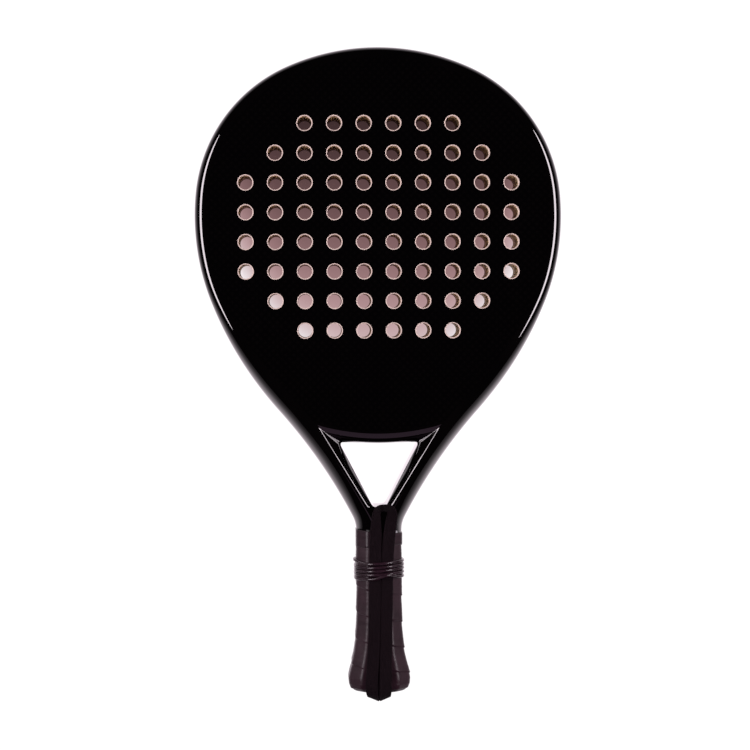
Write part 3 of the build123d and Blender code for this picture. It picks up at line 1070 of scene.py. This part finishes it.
def make_knot(look):
    """The knotted ends of the strap inside the cap: turns of webbing pulled together."""
    low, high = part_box("strap_knot")
    centre, half = (low + high) / 2, (high - low) / 2
    rings = []
    for i in range(KNOT_RINGS):
        v = pi * (i + 0.5) / KNOT_RINGS
        ring = []
        for j in range(KNOT_SIDES):
            u = 2 * pi * j / KNOT_SIDES
            lump = min(1.0 + 0.07 * sin(3 * u + 4 * v) + 0.05 * sin(7 * v + u), 1.07)
            way = Vector((cos(v), sin(v) * cos(u), sin(v) * sin(u)))
            ring.append(centre + half * way * KNOT_FILL * lump)
        rings.append(ring)
    return add_piece("knot", ring_mesh("knot", rings[::-1]), [look["webbing"]], "strap_knot")


def tie_route():
    """The cord's points round the grip and over the strap, turn by turn, each turn a little different."""
    random.seed(11)
    start = TIE_CENTRE - TIE_TURNS * TIE_PITCH / 2
    lean = [random.uniform(-0.5, 0.5) for _ in range(TIE_TURNS + 1)]
    points = []
    for turn in range(TIE_TURNS):
        for k, (x, z) in enumerate(TIE_LOOP):
            share = k / len(TIE_LOOP)
            at = start + (turn + share) * TIE_PITCH
            at += 1.5 * sin(2 * pi * share)  # the right side lies higher than the left
            at += mix(lean[turn], lean[turn + 1], share) + random.uniform(-0.12, 0.12)
            if turn == 0:  # the first turn climbs over the second at the strap's right edge
                climb = max(0.0, 1 - abs(share - 0.43) / 0.11)
                at += 3.0 * climb
                z += 1.5 * climb
            if turn == TIE_TURNS - 1:  # the last one stands off at the left
                loose = max(0.0, 1 - abs(share - 0.77) / 0.13)
                at += 2.6 * loose
                x -= 0.9 * loose
            points.append(place(x, at, z))
    points.append(place(TIE_LOOP[0][0], start + TIE_TURNS * TIE_PITCH, TIE_LOOP[0][1]))
    return points


def make_tie(look):
    """A round cord along the tie's route."""
    line = nurbs_line(tie_route(), 5)
    angles = [2 * pi * j / TIE_SIDES for j in range(TIE_SIDES)]
    rings = []
    normal = Vector((0, 1, 0))
    for i, point in enumerate(line):
        tangent = tangent_at(line, i)
        normal = (normal - tangent * normal.dot(tangent)).normalized()
        side = tangent.cross(normal)
        rings.append([point + (normal * cos(a) + side * sin(a)) * TIE_RADIUS * MM for a in angles])
    mesh = ring_mesh("wound_tie", rings)
    add_piece("wound_tie", mesh, [look["elastic"]], "strap_tie", "tie")


# ======== stage


def area_light(name, shape, at, aim, up, size, power, colour):
    data = bpy.data.lights.new(name, "AREA")
    data.shape = shape
    data.size, data.size_y = size
    data.energy = power
    data.color = colour
    light = bpy.data.objects.new(name, data)
    bpy.context.scene.collection.objects.link(light)
    light.matrix_world = facing(at, aim, up)


def painted_floor_light(x, y, outline):
    """The floor's painted light at a point: a painted pool of light round the racket, fading outwards, and
    painted shade under its head, lighter towards the handle and the sides; and 1 where the floor is open or 0
    where it is under the head."""
    away = outline[:, :2] - (x, y)
    nearest = int(np.argmin((away**2).sum(axis=1)))
    distance = hypot(*away[nearest])
    inside = away[nearest] @ outline[nearest, 2:]
    # Near the outline and outside it: the painted pool of light.
    if inside < SHADE_INSET:
        return PAINTED_FLOOR_LIGHT * (PAINTED_LIGHT_REACH / max(distance, PAINTED_LIGHT_REACH)) ** PAINTED_LIGHT_FALL, 1.0
    if y < SHADE_END:
        return PAINTED_FLOOR_LIGHT, 1.0
    # Under the head: painted shade, lighter towards the handle and towards the sides.
    level = SHADE_LEVEL * exp((SHADE_START - y) * SHADE_RATE)
    sides = SIDE_GAIN * smooth((SIDE_START - y) / SIDE_RUN) * exp((SIDE_REACH - distance) / SIDE_FALL)
    return min(level * (1 + sides), PAINTED_FLOOR_LIGHT), 0.0


def make_floor():
    """A large pale floor, evenly pale where the camera sees it in the open. Its emission is painted light and
    shade: a painted pool of light round the racket, fading outwards, which reflections and bounced light see,
    and painted shade under the racket's head, seen through the holes.
    """
    half = half_outline() + [(16.0, NECK_FOOT - 2.0 * k, 1.0, 0.0) for k in range(1, 53)]
    outline = np.array(half + [(-x, y, -nx, ny) for x, y, nx, ny in half])
    fine = [FLOOR_STEP * k for k in range(-FLOOR_CELLS, FLOOR_CELLS + 1)]
    ticks = [-value for value in FAR_FLOOR[::-1]] + fine + list(FAR_FLOOR)
    count = len(ticks)
    corners = [j * count + i for j in range(count - 1) for i in range(count - 1)]
    faces = [(k, k + 1, k + count + 1, k + count) for k in corners]
    mesh = new_mesh("floor", [(x, y, FLOOR_LEVEL) for y in ticks for x in ticks], faces)
    # The painted light and shade at each point, with 1 in alpha where the floor is open.
    painted_light = mesh.color_attributes.new("painted_light", "FLOAT_COLOR", "POINT")
    for item, vertex in zip(painted_light.data, mesh.vertices):
        level, open_floor = painted_floor_light(vertex.co.x / MM, vertex.co.y / MM + LENGTH / 2, outline)
        # The painted shade is tinted: the dimmer the painted light, the warmer and more pinkish brown it is.
        painted_shade_warmth = 1 - smooth(level / 0.8)
        tint = (1.04, 0.93, 1.0) if open_floor else (1.06 + 0.55 * painted_shade_warmth, 0.97 - 0.1 * painted_shade_warmth, 1.0 - 0.1 * painted_shade_warmth)
        item.color = (*(level * part for part in tint), open_floor)
    floor_object = bpy.data.objects.new("floor", mesh)
    bpy.context.scene.collection.objects.link(floor_object)
    made = Shader("pale_floor", Base_Color=(0.05, 0.047, 0.048), Roughness=0.9, Specular_IOR_Level=0.0)
    shade = made.node("ShaderNodeVertexColor", layer_name="painted_light")
    # Camera rays see the open floor evenly pale; under the head, and for reflections and bounced light, the
    # painted light and shade show.
    seen = made.node("ShaderNodeLightPath").outputs["Is Camera Ray"]
    pale = made.node("ShaderNodeMix", data_type="RGBA")
    made.link(made.math("MULTIPLY", shade.outputs["Alpha"], seen), pale.inputs[0])
    made.link(shade.outputs["Color"], pale.inputs[6])
    pale.inputs[7].default_value = (1.02, 1.0, 1.01, 1.0)
    made.link(pale.outputs[2], made.bsdf.inputs["Emission Color"])
    made.bsdf.inputs["Emission Strength"].default_value = 1.0
    mesh.materials.append(made.material)


def make_world():
    """Dark surroundings for the reflections, and a pale background behind the floor."""
    world = bpy.data.worlds.new("world")
    bpy.context.scene.world = world
    world.use_nodes = True
    nodes, link = world.node_tree.nodes, world.node_tree.links.new
    dark, pale = nodes["Background"], nodes.new("ShaderNodeBackground")
    dark.inputs["Color"].default_value = (0.012, 0.010, 0.011, 1.0)
    pale.inputs["Color"].default_value = (1.0, 0.985, 0.99, 1.0)
    pale.inputs["Strength"].default_value = 1.05
    choose = nodes.new("ShaderNodeMixShader")
    seen = nodes.new("ShaderNodeLightPath").outputs["Is Camera Ray"]
    for source, socket in zip((seen, dark.outputs[0], pale.outputs[0]), choose.inputs):
        link(source, socket)
    link(choose.outputs[0], nodes["World Output"].inputs["Surface"])


def make_stage():
    """The floor, the surroundings, two soft lights at the sides and a dim one beyond the butt."""
    make_floor()
    make_world()
    pink, purple = (1.0, 0.90, 0.96), (1.0, 0.64, 0.93)
    for name, x in (("left_strip", -1.0), ("right_strip", 1.0)):
        area_light(name, "ELLIPSE", (x, 0.14, 0.70), (0.0, 0.14, 0.02), (-1, 0, 0), (1.22, 0.40), 24.0, pink)
    at, aim = (0.0, -0.90, 0.87), (0.0, -0.045, 0.02)
    area_light("low_fill", "RECTANGLE", at, aim, (0, 1, 0), (0.76, 0.92), 0.98, purple)
    bpy.context.scene.view_settings.view_transform = "Standard"


# ======== all together


def dress_cad_nodes(look):
    """Better materials for the CAD nodes that stay as they are, all of them inside the racket."""
    finishes = {
        "bridge_foam": "filler",
        "handle_spacer": "handle_foam",
        "handle_shell_front": "handle_foam",
        "handle_shell_rear": "handle_foam",
        "cap_staples": "steel",
    }
    for node, finish in finishes.items():
        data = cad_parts[node].data
        data.materials.clear()
        data.materials.append(look[finish])


make_camera()
strap_line = nurbs_line(strap_controls(), 14)

look = {
    "lacquer": lacquer("frame_lacquer", False),
    "laminate": lacquer("laminate_lacquer", True),
    "raw_edge": raw_edge(),
    "core": foam("core_foam", (0.46, 0.37, 0.27), (0.82, 0.72, 0.58)),
    "filler": foam("filler_foam", (0.55, 0.50, 0.36), (0.78, 0.73, 0.55)),
    "handle_foam": foam("handle_foam", (0.10, 0.10, 0.11), (0.22, 0.22, 0.23)),
    "leather": leather(),
    "tape": tape(),
    "cap": moulded(),
    "webbing": webbing(),
    "elastic": elastic(),
    "steel": steel(),
}

strap = make_strap(strap_line, look)
knot = make_knot(look)
edges = make_body([look["lacquer"]])
make_plates(*edges, look)
make_grip(look)
make_cap(look)
make_tie(look)
dress_cad_nodes(look)
make_stage()
